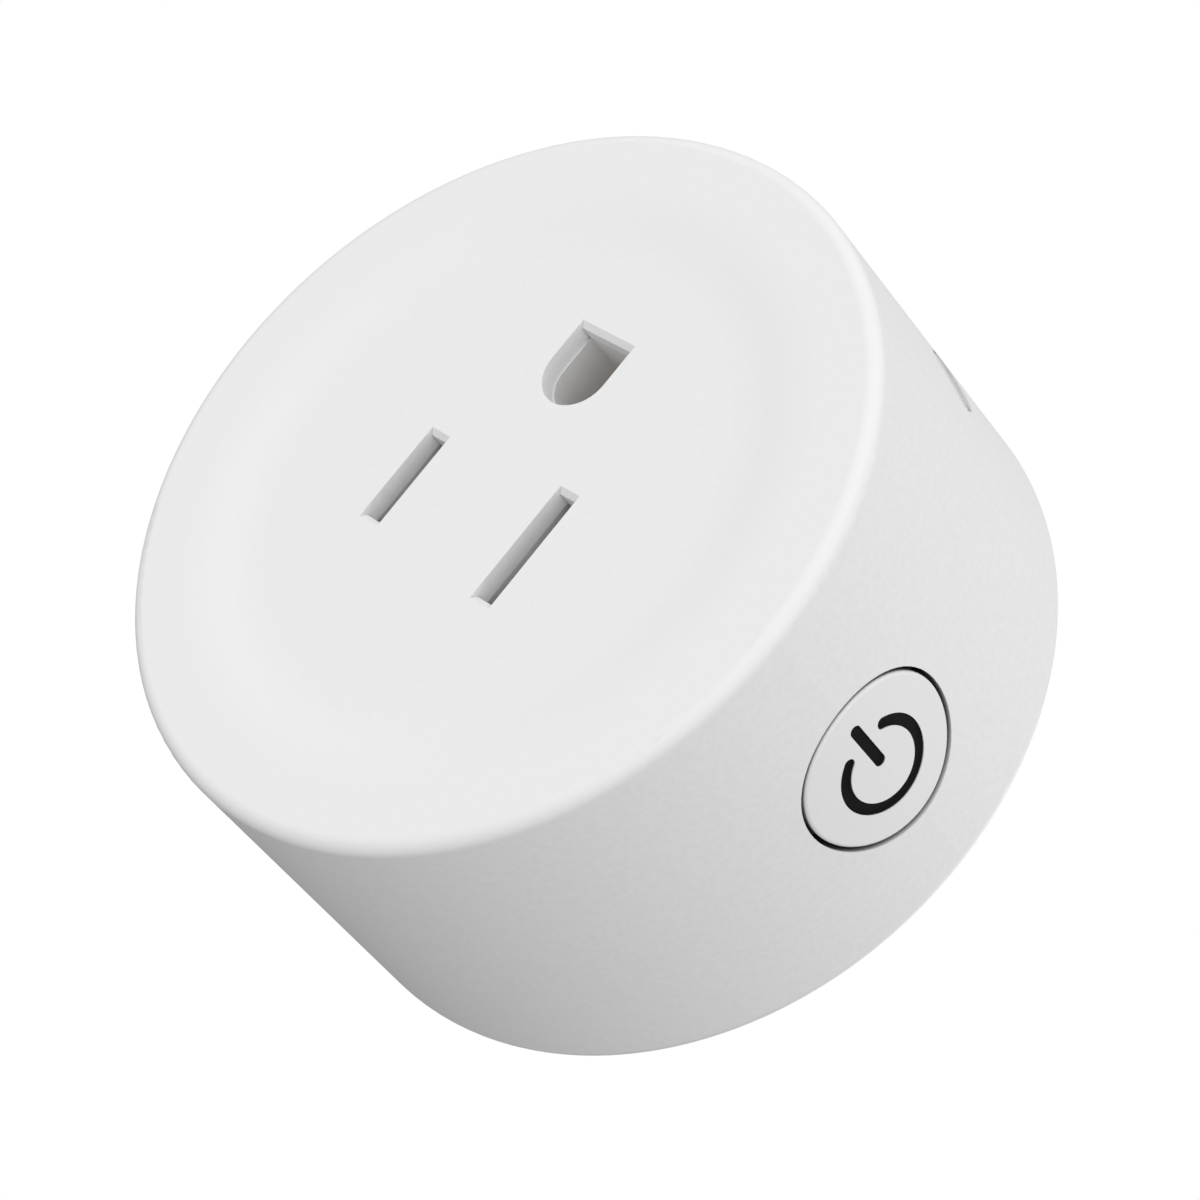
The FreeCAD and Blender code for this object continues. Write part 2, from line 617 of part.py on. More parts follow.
def make_contact_carrier():
    """The moulded block that holds the three socket contacts."""
    body = new_body("contact_carrier")
    plan = new_sketch(body, "carrier_plan", "XZ_Plane", "board_front")
    outline(plan, [
        ("-carrier_half", "-carrier_bottom"), ("carrier_half", "-carrier_bottom"),
        ("carrier_half", "carrier_shoulder"), ("carrier_neck", "carrier_neck_start"),
        ("carrier_neck", "carrier_top"), ("-carrier_neck", "carrier_top"),
        ("-carrier_neck", "carrier_neck_start"), ("-carrier_half", "carrier_shoulder"),
    ])
    pad(body, plan, "%s - board_front" % FACE_BACK)
    pockets = new_sketch(body, "carrier_pockets", "XZ_Plane", "carrier_floor")
    blade_opening(pockets, -1, "line_pocket", "pocket_half * 2")
    blade_opening(pockets, 1, "neutral_pocket", "pocket_half * 2")
    pocket(body, pockets, FACE_BACK + " - carrier_lip - carrier_floor")
    well = new_sketch(body, "carrier_ground_pocket", "XZ_Plane", "carrier_floor")
    circle(well, "0", "ground_height", "ground_pocket")
    pocket(body, well, FACE_BACK + " - ground_lip - carrier_floor")
    mouths = new_sketch(body, "carrier_mouths", "XZ_Plane", FACE_BACK + " - carrier_lip - 1")
    blade_opening(mouths, -1, "line_slot", "slot_width")
    blade_opening(mouths, 1, "neutral_slot", "slot_width")
    pocket(body, mouths, "carrier_lip + 2")
    tunnel = new_sketch(body, "carrier_ground_mouth", "XZ_Plane", FACE_BACK + " - ground_lip - 1")
    ground_opening(tunnel, "carrier_ground")
    pocket(body, tunnel, "ground_lip + 2")
    passages = new_sketch(body, "carrier_passages", "XZ_Plane", "board_front - 1")
    blade_opening(passages, 1, "(tail_half * 2 + tail_gap)", "(blade_thickness + tail_gap)")
    circle(passages, "0", "ground_height", "tail_half + tail_gap")
    pocket(body, passages, "3")
    notch = new_sketch(body, "carrier_notch", "XZ_Plane", "carrier_floor")
    rectangle(notch, "-carrier_half - 1", "-blade_offset - pocket_half + 1",
              "-blade_drop - 1.6", "-blade_drop + 1.6")
    pocket(body, notch, "leaf + strap + 0.1")
    return body


def make_blade_contact(label, side, height):
    """A U-shaped spring clip: two leaves close to a nip and flare out at the mouth."""
    body = new_body(label)
    middle = "%d * blade_offset" % side
    waist, nip, mouth = "clip_half", "1.05", "1.9"
    waist_front, nip_front = "15", "22.4"
    right = [(waist, "carrier_floor"), (waist, waist_front), (nip, nip_front), (mouth, "contact_front")]
    inner = [(mouth, "contact_front"), (nip, nip_front), (waist, waist_front), (waist, "carrier_floor + leaf")]
    corners = [("%s + %s" % (middle, across), "-(%s)" % front) for across, front in right]
    corners += [("%s + %s - leaf" % (middle, across), "-(%s)" % front) for across, front in inner]
    corners += [("%s - %s + leaf" % (middle, across), "-(%s)" % front) for across, front in reversed(inner)]
    corners += [("%s - %s" % (middle, across), "-(%s)" % front) for across, front in reversed(right)]
    profile = new_sketch(body, label + "_profile", "XY_Plane", "-blade_drop - %s / 2" % height)
    outline(profile, corners)
    pad(body, profile, height)
    return body


def make_ground_contact():
    """A split sleeve that grips a round pin."""
    body = new_body("ground_contact")
    tube = new_sketch(body, "sleeve", "XZ_Plane", "carrier_floor")
    circle(tube, "0", "ground_height", "2.95")
    pad(body, tube, "ground_contact_front - carrier_floor")
    bore = new_sketch(body, "sleeve_bore", "XZ_Plane", "carrier_floor + leaf")
    circle(bore, "0", "ground_height", "2.42")
    pocket(body, bore, "body_depth")
    slit = new_sketch(body, "sleeve_slit", "XZ_Plane", "carrier_floor + 3")
    rectangle(slit, "-0.8", "0.8", "ground_height", "ground_height + 4")
    pocket(body, slit, "body_depth")
    return body


def make_line_strap():
    """The bent strap from the relay's output to the line contact."""
    body = new_body("line_strap")
    outer = "(carrier_half + 1.2)"
    high = "(carrier_floor + leaf + strap)"
    clip = "-blade_offset - clip_half"
    profile = new_sketch(body, "strap_profile", "XY_Plane", "-blade_drop - 1.5")
    outline(profile, [
        ("-" + outer, "-board_back + 0.8"), ("-%s + strap" % outer, "-board_back + 0.8"),
        ("-%s + strap" % outer, "-%s + strap" % high), (clip, "-%s + strap" % high),
        (clip, "-" + high), ("-" + outer, "-" + high),
    ])
    pad(body, profile, "3")
    return body


# ---------------------------------------------------------------- boards and components

def make_main_board():
    body = new_body("main_board")
    plan = new_sketch(body, "board_plan", "XZ_Plane", "board_back")
    circle(plan, "0", "0", "board_radius")
    pad(body, plan, "board_front - board_back")
    notches = new_sketch(body, "board_notches", "XZ_Plane", "board_back - 1")
    circle(notches, SCREW_X, SCREW_Z, "boss_radius + 0.3")
    notch = pocket(body, notches, "board_front - board_back + 2")
    polar_pattern(body, "board_notch_pattern", [notch], 4)
    passages = new_sketch(body, "board_passages", "XZ_Plane", "board_back - 1")
    for side in (-1, 1):
        blade_opening(passages, side, "(tail_half * 2 + tail_gap)", "(blade_thickness + tail_gap)")
    circle(passages, "0", "ground_height", "tail_half + tail_gap")
    rectangle(passages, "-carrier_half - 1.25", "-carrier_half - 0.35", "-blade_drop - 1.6", "-blade_drop + 1.6")
    rectangle(passages, "radio_inner - 0.75", "radio_inner", "-5.4", "5.4")
    rectangle(passages, "flange_inner - 0.8", "body_radius", "-button_flange - 1", "button_flange + 1")
    pocket(body, passages, "board_front - board_back + 2")
    return body


def make_radio_board():
    """The upright board that carries the radio and the button's switch."""
    body = new_body("radio_board")
    plan = new_sketch(body, "radio_plan", "YZ_Plane", "radio_inner")
    rectangle(plan, "-radio_front", "-board_front", "-radio_half", "radio_half")
    solid = pad(body, plan, "radio_outer - radio_inner")
    front = -number("radio_front")
    half = number("radio_half")
    round_edges(body, solid, "radio_corners",
                lambda point: abs(point.y - front) < 0.01 and abs(abs(point.z) - half) < 0.01, "1")
    return body


def make_radio_shield():
    body = new_body("radio_shield")
    plan = new_sketch(body, "shield_plan", "YZ_Plane", "radio_inner - 2.2")
    rectangle(plan, "-18.6", "-10.4", "-6.5", "6.5")
    solid = pad(body, plan, "2.2")
    round_edges(body, solid, "shield_edges", lambda point: True, "0.4")
    return body


def make_radio_antenna():
    """The printed antenna: a folded trace near the radio board's front edge."""
    body = new_body("radio_antenna")
    width, pitch, fingers = 0.5, 1.8, 7
    back, front = -20.2, -23.2
    starts = [(finger - (fingers - 1) / 2) * pitch for finger in range(fingers)]
    trace = new_sketch(body, "antenna_fingers", "YZ_Plane", "radio_inner - 0.1")
    for start in starts:
        rectangle(trace, front, back, start, start + width)
    links = new_sketch(body, "antenna_links", "YZ_Plane", "radio_inner - 0.1")
    for place, start in enumerate(starts[:-1]):
        level = front if place % 2 else back - width
        rectangle(links, level, level + width, start + width / 2, start + pitch + width / 2)
    body.AllowCompound = True
    pad(body, trace, "0.1")
    pad(body, links, "0.1")
    return body


def make_header_pins():
    """Five pins that join the radio board to the main board."""
    body = new_body("header_pins")
    body.AllowCompound = True
    plan = new_sketch(body, "pin_feet", "XZ_Plane", "board_back - 0.8")
    for place in range(5):
        middle = (place - 2) * 2.5
        rectangle(plan, "radio_inner - 0.65", "radio_inner - 0.05", str(middle - 0.3), str(middle + 0.3))
    pad(body, plan, "board_front - board_back + 3.4")
    return body


def make_tact_switch():
    """The push switch behind the button: its body, then its plunger."""
    body = new_body("switch_body")
    plan = new_sketch(body, "switch_plan", "YZ_Plane", "radio_outer")
    rectangle(plan, "-button_front - 3", "-button_front + 3", "-3", "3")
    solid = pad(body, plan, "switch_outer - radio_outer")
    round_edges(body, solid, "switch_edges", lambda point: True, "0.3")
    bore = new_sketch(body, "switch_bore", "YZ_Plane", "switch_outer - 1.2")
    circle(bore, "-button_front", "0", "1.8")
    pocket(body, bore, "3")
    plunger = new_body("switch_plunger")
    rod = new_sketch(plunger, "plunger_rod", "YZ_Plane", "switch_outer - 0.7")
    circle(rod, "-button_front", "0", "1.72")
    pad(plunger, rod, "plunger_end - switch_outer + 0.7")


def make_relay():
    front_block("relay", "-21.4", "-11.4", "-9.3", "10.7", "board_front", "relay_top", "0.5")


def make_varistor():
    body = new_body("surge_varistor")
    disc = new_sketch(body, "varistor_disc", "XY_Plane", "11.7")
    circle(disc, "-17.4", "-board_front - 4.4", "3.5")
    solid = pad(body, disc, "3")
    round_edges(body, solid, "varistor_edges", lambda point: True, "0.8")
    return body


def make_fuse():
    body = new_body("fuse_resistor")
    section = new_sketch(body, "fuse_section", "XY_Plane", "-18.4")
    circle(section, "-12.8", "-board_front - 1.8", "1.5")
    solid = pad(body, section, "7.6")
    round_edges(body, solid, "fuse_edges", lambda point: True, "0.5")
    return body


def make_inductor():
    """A drum core: two flanges and the winding between them."""
    body = new_body("filter_inductor")
    for name, back, length, radius in (("foot", "board_front", "1", "3.4"),
                                       ("winding", "board_front + 1", "6", "2.9"),
                                       ("cap", "board_front + 7", "1", "3.4")):
        sketch = new_sketch(body, "inductor_" + name, "XZ_Plane", back)
        circle(sketch, "12.9", "-12.5", radius)
        pad(body, sketch, length)
    return body


def make_components():
    front_can("bulk_capacitor_left", "-6.2", "-15.4", "board_front", "20", "4", "0.6")
    front_can("bulk_capacitor_right", "2.5", "-15.4", "board_front", "20", "4", "0.6")
    front_can("output_capacitor", "3.6", "17.6", "board_front", "14.8", "2.5", "0.4")
    front_block("bridge_rectifier", "-4.6", "0.2", "16", "20", "board_front", "board_front + 2.5", "0.2")
    front_block("converter_chip", "10.4", "14.4", "8.6", "13.6", "board_front", "board_front + 1.6", "0.15")


# ---------------------------------------------------------------- build and write

make_front_cover()
make_rear_cover()
make_cover_screws()
make_power_button()
make_button_symbol()
make_status_lens()
make_status_led()
make_blade("line_blade", -1, "line_blade_width")
make_blade("neutral_blade", 1, "neutral_blade_width")
make_ground_pin()
make_contact_carrier()
make_blade_contact("line_contact", -1, "6")
make_blade_contact("neutral_contact", 1, "7.4")
make_ground_contact()
make_line_strap()
make_main_board()
make_radio_board()
make_radio_shield()
make_radio_antenna()
make_header_pins()
make_tact_switch()
make_relay()
make_varistor()
make_fuse()
make_inductor()
make_components()
doc.recompute()

for item in doc.Objects:
    if "Invalid" in item.State or "Error" in item.State:
        raise RuntimeError("%s did not compute: %s" % (item.Name, item.State))
for item in sub_parts:
    if item.Shape.isNull() or not item.Shape.isValid():
        raise RuntimeError("%s has no valid shape" % item.Label)

os.makedirs("parts", exist_ok=True)
for item in sub_parts:
    item.Shape.exportStep("parts/%s.step" % item.Label)
    print("%-22s %8.1f mm3, %d solids" % (item.Label, item.Shape.Volume, len(item.Shape.Solids)))
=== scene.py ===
import json
import math

import bmesh
import bpy
from mathutils import Matrix, Vector


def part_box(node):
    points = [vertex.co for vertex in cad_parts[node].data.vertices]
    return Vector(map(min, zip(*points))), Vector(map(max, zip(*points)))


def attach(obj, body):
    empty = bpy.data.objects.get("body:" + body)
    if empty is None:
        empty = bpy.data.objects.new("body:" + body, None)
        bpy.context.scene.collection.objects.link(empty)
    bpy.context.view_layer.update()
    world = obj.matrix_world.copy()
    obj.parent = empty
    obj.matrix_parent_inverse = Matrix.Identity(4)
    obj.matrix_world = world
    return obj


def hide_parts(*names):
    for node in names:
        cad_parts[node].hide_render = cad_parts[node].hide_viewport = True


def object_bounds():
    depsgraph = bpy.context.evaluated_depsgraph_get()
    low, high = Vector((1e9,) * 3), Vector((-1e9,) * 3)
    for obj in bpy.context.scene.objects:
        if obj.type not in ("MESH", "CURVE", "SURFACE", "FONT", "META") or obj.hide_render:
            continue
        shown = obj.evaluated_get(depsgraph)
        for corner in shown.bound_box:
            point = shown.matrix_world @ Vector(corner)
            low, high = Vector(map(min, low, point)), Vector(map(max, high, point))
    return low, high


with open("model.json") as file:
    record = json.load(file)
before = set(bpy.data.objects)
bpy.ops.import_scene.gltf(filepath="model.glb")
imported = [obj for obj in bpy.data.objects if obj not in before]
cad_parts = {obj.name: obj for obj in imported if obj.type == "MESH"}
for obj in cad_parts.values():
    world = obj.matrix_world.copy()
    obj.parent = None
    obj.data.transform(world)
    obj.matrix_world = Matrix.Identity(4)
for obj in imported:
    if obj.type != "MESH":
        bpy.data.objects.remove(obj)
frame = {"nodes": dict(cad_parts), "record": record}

CAD_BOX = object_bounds()
MM = 0.001

# Places and sizes that a node's box doesn't give, in metres.
LENS_DIRECTION = Vector((math.cos(math.radians(61.5)), 0, math.sin(math.radians(61.5))))
LENS_RADIUS = 2.4 * MM
LENS_FLANGE = 3.2 * MM
LENS_INNER_END = 21.2 * MM
LENS_FLANGE_INNER = 24.0 * MM
LENS_FLANGE_OUTER = 25.0 * MM
HOUSING_AT_LENS = 28.07 * MM
LEAD_RADIUS = 0.3 * MM
CAPACITOR_LEAD_OUT = 1.25 * MM
INDUCTOR_LEAD_OUT = 2.0 * MM
FUSE_LEAD_OUT = 1.3 * MM
BOARD_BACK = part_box("main_board")[1][1]
BOARD_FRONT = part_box("main_board")[0][1]
LEAD_END = BOARD_BACK + 1.2 * MM
FORWARDS = Vector((0, -1, 0))
UPWARDS = Vector((0, 0, 1))
SHARP = math.radians(35)

# Painted shade: narrow gaps and deep pockets are darkened towards this near-black colour, over these
# distances.
GAP_REACH = 0.7 * MM
POCKET_REACH = 4.0 * MM
PAINTED_SHADE = (0.03, 0.03, 0.03)

LIGHT_FROM = Vector((0.43, -0.77, 0.47)).normalized()
BRIGHTEST = 1.56
PANEL_PLACE = Vector((0.05, 0.7, 0.1))
PANEL_WIDTH = 0.25
PANEL_WATTS = 1.7
FLOOR_DROP = 170 * MM
FLOOR_RADIUS = 0.8
DOME_RADIUS = 3.0


# ---------------------------------------------------------------- light, stage, camera

def world_light():
    """Soft studio light: brighter from the upper right front, dimmer from below and behind."""
    world = bpy.data.worlds.new("studio")
    bpy.context.scene.world = world
    world.use_nodes = True
    nodes = world.node_tree.nodes
    links = world.node_tree.links
    nodes.clear()
    place = nodes.new("ShaderNodeTexCoord")
    dot = nodes.new("ShaderNodeVectorMath")
    dot.operation = "DOT_PRODUCT"
    dot.inputs[1].default_value = LIGHT_FROM
    ramp = nodes.new("ShaderNodeMapRange")
    ramp.inputs["From Min"].default_value = -1.0
    ramp.inputs["To Min"].default_value = 0.0
    ramp.inputs["To Max"].default_value = BRIGHTEST
    light = nodes.new("ShaderNodeBackground")
    output = nodes.new("ShaderNodeOutputWorld")
    links.new(place.outputs["Generated"], dot.inputs[0])
    links.new(dot.outputs["Value"], ramp.inputs["Value"])
    links.new(ramp.outputs["Result"], light.inputs["Strength"])
    links.new(light.outputs["Background"], output.inputs["Surface"])


def rear_light():
    """A soft panel behind the plug, which lights only its rear."""
    data = bpy.data.lights.new("rear_panel", "AREA")
    data.size = PANEL_WIDTH
    data.energy = PANEL_WATTS
    panel = bpy.data.objects.new("rear_panel", data)
    bpy.context.scene.collection.objects.link(panel)
    turn = PANEL_PLACE.to_track_quat("Z", "Y").to_matrix().to_4x4()
    panel.matrix_world = Matrix.Translation(PANEL_PLACE) @ turn


def camera_only(item):
    """The camera sees it, but it neither lights nor shades the object."""
    item.visible_diffuse = False
    item.visible_glossy = False
    item.visible_transmission = False
    item.visible_shadow = False
    item.visible_volume_scatter = False


def backdrop():
    """A white dome that only the camera sees."""
    mesh = bpy.data.meshes.new("backdrop")
    shape = bmesh.new()
    bmesh.ops.create_uvsphere(shape, u_segments=48, v_segments=24, radius=DOME_RADIUS)
    shape.to_mesh(mesh)
    shape.free()
    dome = bpy.data.objects.new("backdrop", mesh)
    bpy.context.scene.collection.objects.link(dome)
    material = bpy.data.materials.new("backdrop")
    material.use_nodes = True
    nodes = material.node_tree.nodes
    nodes.clear()
    glow = nodes.new("ShaderNodeEmission")
    output = nodes.new("ShaderNodeOutputMaterial")
    material.node_tree.links.new(glow.outputs[0], output.inputs[0])
    mesh.materials.append(material)
    camera_only(dome)


def floor():
    """A plain pale floor well below the plug, which hangs in its outlet."""
    level = CAD_BOX[0][2] - FLOOR_DROP
    mesh = bpy.data.meshes.new("floor")
    shape = bmesh.new()
    bmesh.ops.create_circle(shape, cap_ends=True, segments=96, radius=FLOOR_RADIUS)
    bmesh.ops.translate(shape, verts=shape.verts, vec=(0, 0, level))
    shape.to_mesh(mesh)
    shape.free()
    ground = bpy.data.objects.new("floor", mesh)
    bpy.context.scene.collection.objects.link(ground)
    mesh.materials.append(finish("floor_paper", (0.9, 0.9, 0.9), 0.8, vary=0.01, blotch=80 * MM))
    camera_only(ground)


def camera():
    data = bpy.data.cameras.new("camera")
    data.sensor_width = 36
    data.lens = 105.6
    data.clip_start = 0.01
    data.clip_end = 10
    view = bpy.data.objects.new("camera", data)
    bpy.context.scene.collection.objects.link(view)
    right = Vector((0.636263, 0.460006, 0.619325))
    up = Vector((-0.376876, -0.515137, 0.769804))
    turn = Matrix((right, up, right.cross(up))).transposed().to_4x4()
    view.matrix_world = Matrix.Translation(Vector((161.069, -185.659, -37.05)) * MM) @ turn
    bpy.context.scene.camera = view


# ---------------------------------------------------------------- materials

def start_material(name):
    """A new material, its node tree, its shader and its object coordinates."""
    material = bpy.data.materials.new(name)
    material.use_nodes = True
    tree = material.node_tree
    place = tree.nodes.new("ShaderNodeTexCoord")
    return material, tree, tree.nodes["Principled BSDF"], place.outputs["Object"]


def noise(tree, place, width, detail=3.0):
    """Noise whose patches are about width across, in metres."""
    node = tree.nodes.new("ShaderNodeTexNoise")
    node.inputs["Scale"].default_value = 1 / width
    node.inputs["Detail"].default_value = detail
    tree.links.new(place, node.inputs["Vector"])
    return node.outputs["Fac"]


def remap(tree, value, start, end, low=0.0, high=1.0):
    """value turned from start..end into low..high, and held there outside."""
    node = tree.nodes.new("ShaderNodeMapRange")
    node.inputs["From Min"].default_value = start
    node.inputs["From Max"].default_value = end
    node.inputs["To Min"].default_value = low
    node.inputs["To Max"].default_value = high
    tree.links.new(value, node.inputs["Value"])
    return node.outputs["Result"]


def maths(tree, operation, first, second):
    """first and second combined; either may be a plain number."""
    node = tree.nodes.new("ShaderNodeMath")
    node.operation = operation
    for socket, value in zip(node.inputs, (first, second)):
        if isinstance(value, (int, float)):
            socket.default_value = value
        else:
            tree.links.new(value, socket)
    return node.outputs["Value"]


def axis_value(tree, place, axis):
    """The object's X, Y or Z at each point."""
    node = tree.nodes.new("ShaderNodeSeparateXYZ")
    tree.links.new(place, node.inputs["Vector"])
    return node.outputs[axis]


def mixed(tree, factor, first, second):
    """A colour between first and second; each is a colour or a socket."""
    node = tree.nodes.new("ShaderNodeMix")
    node.data_type = "RGBA"
    tree.links.new(factor, node.inputs["Factor"])
    for socket, value in ((node.inputs[6], first), (node.inputs[7], second)):
        if isinstance(value, tuple):
            socket.default_value = (*value, 1)
        else:
            tree.links.new(value, socket)
    return node.outputs[2]


def raised(tree, shader, height, depth):
    """Bump from a height of 0 to 1, depth metres deep."""
    node = tree.nodes.new("ShaderNodeBump")
    node.inputs["Distance"].default_value = depth
    tree.links.new(height, node.inputs["Height"])
    tree.links.new(node.outputs["Normal"], shader.inputs["Normal"])


def openness(tree, reach=GAP_REACH, closed=0.2, clear=0.6):
    """1 on open surfaces, falling to 0 where other surfaces within reach close them in; the mask for painted
    shade in gaps and pockets.
    """
    node = tree.nodes.new("ShaderNodeAmbientOcclusion")
    node.samples = 12
    node.inputs["Distance"].default_value = reach
    return remap(tree, node.outputs["AO"], closed, clear)


def shaded(color, change):
    return tuple(max(0.0, min(1.0, channel * (1 + change))) for channel in color)


def finish(name, color, rough, metal=0.0, vary=0.05, blotch=2.5 * MM,
           grain=0.25 * MM, depth=0.004 * MM, shine=0.5):
    """A surface with faint patches of colour and gloss, and a fine grain."""
    material, tree, shader, place = start_material(name)
    patches = noise(tree, place, blotch)
    base = mixed(tree, patches, shaded(color, -vary), shaded(color, vary))
    tree.links.new(base, shader.inputs["Base Color"])
    tree.links.new(remap(tree, patches, 0.3, 0.7, rough - 0.06, rough + 0.06), shader.inputs["Roughness"])
    shader.inputs["Metallic"].default_value = metal
    shader.inputs["Specular IOR Level"].default_value = shine
    raised(tree, shader, noise(tree, place, grain), depth)
    return material


def cover_plastic():
    """White satin plastic: a smooth face, and finely spark-textured sides, with painted shade in narrow gaps.
    """
    material, tree, shader, place = start_material("cover_plastic")
    face_level = CAD_BOX[0][1]
    side = remap(tree, axis_value(tree, place, "Y"), face_level + 0.3 * MM, face_level + 1.2 * MM)
    mottle = remap(tree, noise(tree, place, 0.45 * MM, 4.0), 0.35, 0.65)
    shade = maths(tree, "MULTIPLY", mottle, remap(tree, side, 0, 1, 0.25, 1.0))
    base = mixed(tree, shade, (0.88, 0.881, 0.883), (0.85, 0.851, 0.855))
    # Painted shade: the colour is darkened towards near-black where narrow gaps close the surface in.
    tree.links.new(mixed(tree, openness(tree), PAINTED_SHADE, base), shader.inputs["Base Color"])
    tree.links.new(remap(tree, side, 0, 1, 0.42, 0.6), shader.inputs["Roughness"])
    shader.inputs["Specular IOR Level"].default_value = 0.35
    grain = noise(tree, place, 0.22 * MM, 2.0)
    height = maths(tree, "MULTIPLY", grain, remap(tree, side, 0, 1, 0.15, 1.0))
    raised(tree, shader, height, 0.012 * MM)
    return material


def button_plastic():
    """White satin plastic like the sides', with painted shade down in the gap round the button."""
    material, tree, shader, place = start_material("button_plastic")
    mottle = noise(tree, place, 0.45 * MM, 4.0)
    base = mixed(tree, mottle, (0.885, 0.886, 0.888), (0.85, 0.851, 0.855))
    # Painted shade: the colour is darkened towards near-black down in the gap round the button.
    tree.links.new(mixed(tree, openness(tree), PAINTED_SHADE, base), shader.inputs["Base Color"])
    tree.links.new(remap(tree, mottle, 0.3, 0.7, 0.5, 0.6), shader.inputs["Roughness"])
    shader.inputs["Specular IOR Level"].default_value = 0.35
    raised(tree, shader, noise(tree, place, 0.22 * MM, 2.0), 0.009 * MM)
    return material


def carrier_plastic():
    """Unfinished white moulding, with painted shade deep inside its pockets."""
    material = finish("carrier_plastic", (0.76, 0.76, 0.755), 0.55, vary=0.03)
    tree = material.node_tree
    color = tree.nodes["Principled BSDF"].inputs["Base Color"]
    base = color.links[0].from_socket
    # Painted shade: the colour is darkened towards near-black deep inside the pockets.
    tree.links.new(mixed(tree, openness(tree, POCKET_REACH, 0.05, 0.3), PAINTED_SHADE, base), color)
    return material


def lens_plastic():
    """Milky plastic with faint cloudy patches of colour and gloss."""
    material, tree, shader, place = start_material("lens_plastic")
    cloud = noise(tree, place, 0.9 * MM)
    tree.links.new(mixed(tree, cloud, (0.8, 0.81, 0.82), (0.9, 0.91, 0.92)), shader.inputs["Base Color"])
    tree.links.new(remap(tree, cloud, 0.3, 0.7, 0.12, 0.22), shader.inputs["Roughness"])
    raised(tree, shader, cloud, 0.003 * MM)
    return material


def led_resin():
    """Clear resin with faint flow lines."""
    material, tree, shader, place = start_material("led_resin")
    cloud = noise(tree, place, 1.2 * MM)
    tree.links.new(mixed(tree, cloud, (0.84, 0.89, 0.92), (0.95, 0.97, 0.98)), shader.inputs["Base Color"])
    tree.links.new(remap(tree, cloud, 0.3, 0.7, 0.03, 0.09), shader.inputs["Roughness"])
    shader.inputs["Transmission Weight"].default_value = 0.8
    shader.inputs["IOR"].default_value = 1.5
    raised(tree, shader, cloud, 0.002 * MM)
    return material


def board_laminate(name, mask, copper, gap):
    """Solder mask over copper tracks: raised straight runs on both axes, with a woven ground below."""
    material, tree, shader, place = start_material(name)
    cells = tree.nodes.new("ShaderNodeTexBrick")
    cells.offset = 0.5
    cells.inputs["Scale"].default_value = 1 / gap
    cells.inputs["Mortar Size"].default_value = 0.06
    cells.inputs["Mortar Smooth"].default_value = 0.1
    turn = tree.nodes.new("ShaderNodeMapping")
    turn.inputs["Rotation"].default_value = (math.pi / 2, 0, 0)
    tree.links.new(place, turn.inputs["Vector"])
    tree.links.new(turn.outputs["Vector"], cells.inputs["Vector"])
    weave = noise(tree, place, 0.3 * MM)
    ground = mixed(tree, weave, shaded(mask, -0.12), shaded(mask, 0.12))
    tree.links.new(mixed(tree, cells.outputs["Fac"], ground, copper), shader.inputs["Base Color"])
    tree.links.new(remap(tree, weave, 0.3, 0.7, 0.28, 0.4), shader.inputs["Roughness"])
    threads = maths(tree, "MULTIPLY", weave, 0.2)
    raised(tree, shader, maths(tree, "ADD", cells.outputs["Fac"], threads), 0.03 * MM)
    return material


def sleeve_plastic(name, color, stripe, centre, radius):
    """Shrink sleeve with a pale stripe down one side of a can of this radius."""
    material, tree, shader, place = start_material(name)
    across = maths(tree, "SUBTRACT", axis_value(tree, place, "X"), centre[0] - radius)
    inside = maths(tree, "LESS_THAN", maths(tree, "ABSOLUTE", across, 0), radius * 0.35)
    low = maths(tree, "LESS_THAN", axis_value(tree, place, "Z"), centre[2])
    both = maths(tree, "MULTIPLY", inside, low)
    ripple = noise(tree, place, 1.5 * MM)
    dark = mixed(tree, ripple, shaded(color, -0.2), shaded(color, 0.2))
    tree.links.new(mixed(tree, both, dark, stripe), shader.inputs["Base Color"])
    tree.links.new(remap(tree, ripple, 0.3, 0.7, 0.22, 0.34), shader.inputs["Roughness"])
    raised(tree, shader, ripple, 0.02 * MM)
    return material


def brushed_metal(name, color, rough, stretch=(1.0, 18.0, 1.0)):
    """Metal with drawing lines along Y, duller in faint patches."""
    material, tree, shader, place = start_material(name)
    scale = tree.nodes.new("ShaderNodeMapping")
    scale.inputs["Scale"].default_value = (stretch[1], stretch[0], stretch[1])
    tree.links.new(place, scale.inputs["Vector"])
    lines = noise(tree, scale.outputs["Vector"], 2.2 * MM, 2.0)
    dull = noise(tree, place, 4 * MM)
    tree.links.new(mixed(tree, dull, shaded(color, -0.12), shaded(color, 0.06)), shader.inputs["Base Color"])
    shader.inputs["Metallic"].default_value = 1.0
    streaks = remap(tree, lines, 0.3, 0.7, -0.05, 0.05)
    gloss = maths(tree, "ADD", streaks, remap(tree, dull, 0.3, 0.7, rough, rough + 0.1))
    tree.links.new(gloss, shader.inputs["Roughness"])
    raised(tree, shader, lines, 0.003 * MM)
    return material


